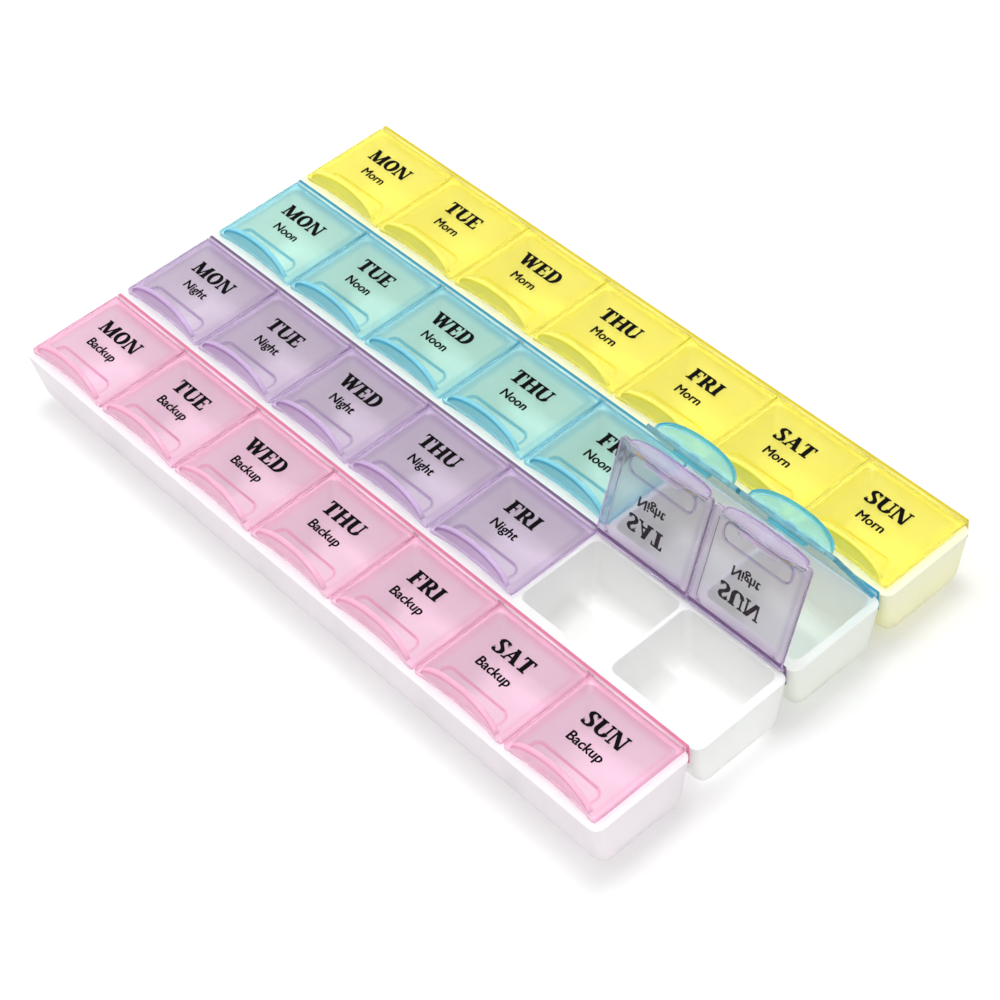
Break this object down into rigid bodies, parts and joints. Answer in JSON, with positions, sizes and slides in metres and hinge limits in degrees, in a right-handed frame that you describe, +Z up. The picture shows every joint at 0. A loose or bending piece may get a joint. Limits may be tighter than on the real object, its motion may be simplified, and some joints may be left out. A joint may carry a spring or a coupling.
{
  "type": "weekly pill organizer",
  "caption": "Pill organizer with clear compartment trays in rows for the day's doses, columns for the days, and coloured flip-up lids with thumb tabs.",
  "frame": {"origin": "middle of the footprint, on the surface that the trays stand on", "axes": "+X along the week from the first day to the last, +Y from the front row of compartments to the back row, +Z up"},
  "size_m": [0.2136, 0.1212, 0.0458],
  "materials": {
    "clear_tray": "translucent, satin",
    "pink_lid": "translucent, satin",
    "lilac_lid": "translucent, satin",
    "blue_lid": "translucent, satin",
    "yellow_lid": "translucent, satin"
  },
  "bodies": {
    "tray_set": {"backup_tray": "clear_tray", "night_tray": "clear_tray", "noon_tray": "clear_tray", "morn_tray": "clear_tray", "backup_hinge_rail": "pink_lid", "night_hinge_rail": "lilac_lid", "noon_hinge_rail": "blue_lid", "morn_hinge_rail": "yellow_lid"},
    "backup_lid_mon": {"backup_lid_mon": "pink_lid"},
    "backup_lid_tue": {"backup_lid_tue": "pink_lid"},
    "backup_lid_wed": {"backup_lid_wed": "pink_lid"},
    "backup_lid_thu": {"backup_lid_thu": "pink_lid"},
    "backup_lid_fri": {"backup_lid_fri": "pink_lid"},
    "backup_lid_sat": {"backup_lid_sat": "pink_lid"},
    "backup_lid_sun": {"backup_lid_sun": "pink_lid"},
    "night_lid_mon": {"night_lid_mon": "lilac_lid"},
    "night_lid_tue": {"night_lid_tue": "lilac_lid"},
    "night_lid_wed": {"night_lid_wed": "lilac_lid"},
    "night_lid_thu": {"night_lid_thu": "lilac_lid"},
    "night_lid_fri": {"night_lid_fri": "lilac_lid"},
    "night_lid_sat": {"night_lid_sat": "lilac_lid"},
    "night_lid_sun": {"night_lid_sun": "lilac_lid"},
    "noon_lid_mon": {"noon_lid_mon": "blue_lid"},
    "noon_lid_tue": {"noon_lid_tue": "blue_lid"},
    "noon_lid_wed": {"noon_lid_wed": "blue_lid"},
    "noon_lid_thu": {"noon_lid_thu": "blue_lid"},
    "noon_lid_fri": {"noon_lid_fri": "blue_lid"},
    "noon_lid_sat": {"noon_lid_sat": "blue_lid"},
    "noon_lid_sun": {"noon_lid_sun": "blue_lid"},
    "morn_lid_mon": {"morn_lid_mon": "yellow_lid"},
    "morn_lid_tue": {"morn_lid_tue": "yellow_lid"},
    "morn_lid_wed": {"morn_lid_wed": "yellow_lid"},
    "morn_lid_thu": {"morn_lid_thu": "yellow_lid"},
    "morn_lid_fri": {"morn_lid_fri": "yellow_lid"},
    "morn_lid_sat": {"morn_lid_sat": "yellow_lid"},
    "morn_lid_sun": {"morn_lid_sun": "yellow_lid"}
  },
  "joints": [
    {"name": "backup_lid_mon_hinge", "type": "hinge", "parent": "tray_set", "child": "backup_lid_mon", "pos_m": [-0.09, -0.0319, 0.0199], "axis": [-1, 0, 0], "range_deg": [0, 112]},
    {"name": "backup_lid_tue_hinge", "type": "hinge", "parent": "tray_set", "child": "backup_lid_tue", "pos_m": [-0.06, -0.0319, 0.0199], "axis": [-1, 0, 0], "range_deg": [0, 112]},
    {"name": "backup_lid_wed_hinge", "type": "hinge", "parent": "tray_set", "child": "backup_lid_wed", "pos_m": [-0.03, -0.0319, 0.0199], "axis": [-1, 0, 0], "range_deg": [0, 112]},
    {"name": "backup_lid_thu_hinge", "type": "hinge", "parent": "tray_set", "child": "backup_lid_thu", "pos_m": [0, -0.0319, 0.0199], "axis": [-1, 0, 0], "range_deg": [0, 112]},
    {"name": "backup_lid_fri_hinge", "type": "hinge", "parent": "tray_set", "child": "backup_lid_fri", "pos_m": [0.03, -0.0319, 0.0199], "axis": [-1, 0, 0], "range_deg": [0, 112]},
    {"name": "backup_lid_sat_hinge", "type": "hinge", "parent": "tray_set", "child": "backup_lid_sat", "pos_m": [0.06, -0.0319, 0.0199], "axis": [-1, 0, 0], "range_deg": [0, 112]},
    {"name": "backup_lid_sun_hinge", "type": "hinge", "parent": "tray_set", "child": "backup_lid_sun", "pos_m": [0.09, -0.0319, 0.0199], "axis": [-1, 0, 0], "range_deg": [0, 112]},
    {"name": "night_lid_mon_hinge", "type": "hinge", "parent": "tray_set", "child": "night_lid_mon", "pos_m": [-0.09, -0.0015, 0.0199], "axis": [-1, 0, 0], "range_deg": [0, 112]},
    {"name": "night_lid_tue_hinge", "type": "hinge", "parent": "tray_set", "child": "night_lid_tue", "pos_m": [-0.06, -0.0015, 0.0199], "axis": [-1, 0, 0], "range_deg": [0, 112]},
    {"name": "night_lid_wed_hinge", "type": "hinge", "parent": "tray_set", "child": "night_lid_wed", "pos_m": [-0.03, -0.0015, 0.0199], "axis": [-1, 0, 0], "range_deg": [0, 112]},
    {"name": "night_lid_thu_hinge", "type": "hinge", "parent": "tray_set", "child": "night_lid_thu", "pos_m": [0, -0.0015, 0.0199], "axis": [-1, 0, 0], "range_deg": [0, 112]},
    {"name": "night_lid_fri_hinge", "type": "hinge", "parent": "tray_set", "child": "night_lid_fri", "pos_m": [0.03, -0.0015, 0.0199], "axis": [-1, 0, 0], "range_deg": [0, 112]},
    {"name": "night_lid_sat_hinge", "type": "hinge", "parent": "tray_set", "child": "night_lid_sat", "pos_m": [0.06, -0.0015, 0.0199], "axis": [-1, 0, 0], "range_deg": [-112, 0]},
    {"name": "night_lid_sun_hinge", "type": "hinge", "parent": "tray_set", "child": "night_lid_sun", "pos_m": [0.09, -0.0015, 0.0199], "axis": [-1, 0, 0], "range_deg": [-112, 0]},
    {"name": "noon_lid_mon_hinge", "type": "hinge", "parent": "tray_set", "child": "noon_lid_mon", "pos_m": [-0.09, 0.0289, 0.0199], "axis": [-1, 0, 0], "range_deg": [0, 112]},
    {"name": "noon_lid_tue_hinge", "type": "hinge", "parent": "tray_set", "child": "noon_lid_tue", "pos_m": [-0.06, 0.0289, 0.0199], "axis": [-1, 0, 0], "range_deg": [0, 112]},
    {"name": "noon_lid_wed_hinge", "type": "hinge", "parent": "tray_set", "child": "noon_lid_wed", "pos_m": [-0.03, 0.0289, 0.0199], "axis": [-1, 0, 0], "range_deg": [0, 112]},
    {"name": "noon_lid_thu_hinge", "type": "hinge", "parent": "tray_set", "child": "noon_lid_thu", "pos_m": [0, 0.0289, 0.0199], "axis": [-1, 0, 0], "range_deg": [0, 112]},
    {"name": "noon_lid_fri_hinge", "type": "hinge", "parent": "tray_set", "child": "noon_lid_fri", "pos_m": [0.03, 0.0289, 0.0199], "axis": [-1, 0, 0], "range_deg": [0, 112]},
    {"name": "noon_lid_sat_hinge", "type": "hinge", "parent": "tray_set", "child": "noon_lid_sat", "pos_m": [0.06, 0.0289, 0.0199], "axis": [-1, 0, 0], "range_deg": [-61, 51]},
    {"name": "noon_lid_sun_hinge", "type": "hinge", "parent": "tray_set", "child": "noon_lid_sun", "pos_m": [0.09, 0.0289, 0.0199], "axis": [-1, 0, 0], "range_deg": [-61, 51]},
    {"name": "morn_lid_mon_hinge", "type": "hinge", "parent": "tray_set", "child": "morn_lid_mon", "pos_m": [-0.09, 0.0593, 0.0199], "axis": [-1, 0, 0], "range_deg": [0, 112]},
    {"name": "morn_lid_tue_hinge", "type": "hinge", "parent": "tray_set", "child": "morn_lid_tue", "pos_m": [-0.06, 0.0593, 0.0199], "axis": [-1, 0, 0], "range_deg": [0, 112]},
    {"name": "morn_lid_wed_hinge", "type": "hinge", "parent": "tray_set", "child": "morn_lid_wed", "pos_m": [-0.03, 0.0593, 0.0199], "axis": [-1, 0, 0], "range_deg": [0, 112]},
    {"name": "morn_lid_thu_hinge", "type": "hinge", "parent": "tray_set", "child": "morn_lid_thu", "pos_m": [0, 0.0593, 0.0199], "axis": [-1, 0, 0], "range_deg": [0, 112]},
    {"name": "morn_lid_fri_hinge", "type": "hinge", "parent": "tray_set", "child": "morn_lid_fri", "pos_m": [0.03, 0.0593, 0.0199], "axis": [-1, 0, 0], "range_deg": [0, 112]},
    {"name": "morn_lid_sat_hinge", "type": "hinge", "parent": "tray_set", "child": "morn_lid_sat", "pos_m": [0.06, 0.0593, 0.0199], "axis": [-1, 0, 0], "range_deg": [0, 112]},
    {"name": "morn_lid_sun_hinge", "type": "hinge", "parent": "tray_set", "child": "morn_lid_sun", "pos_m": [0.09, 0.0593, 0.0199], "axis": [-1, 0, 0], "range_deg": [0, 112]}
  ]
}
